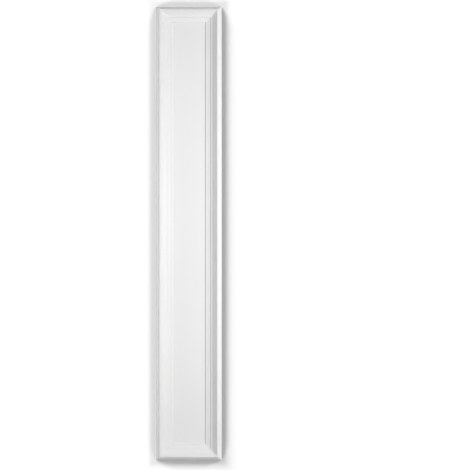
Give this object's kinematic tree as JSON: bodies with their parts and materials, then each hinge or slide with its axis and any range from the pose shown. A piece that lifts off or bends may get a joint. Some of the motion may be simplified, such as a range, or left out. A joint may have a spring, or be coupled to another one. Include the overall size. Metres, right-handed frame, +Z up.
{
  "type": "pilaster shaft",
  "caption": "Flat wall pilaster shaft cast in one piece, with a plain recessed field framed on all four sides by a mitred moulding.",
  "frame": {"origin": "centre of the flat back, where it meets the wall", "axes": "+Z up along the shaft, +Y into the wall out of the back, face towards -Y, +X to the right as seen from the front"},
  "size_m": [0.29, 0.04, 2],
  "materials": {
    "primed_white": "matte"
  },
  "bodies": {
    "root": {"pilaster_shaft": "primed_white"}
  },
  "joints": []
}
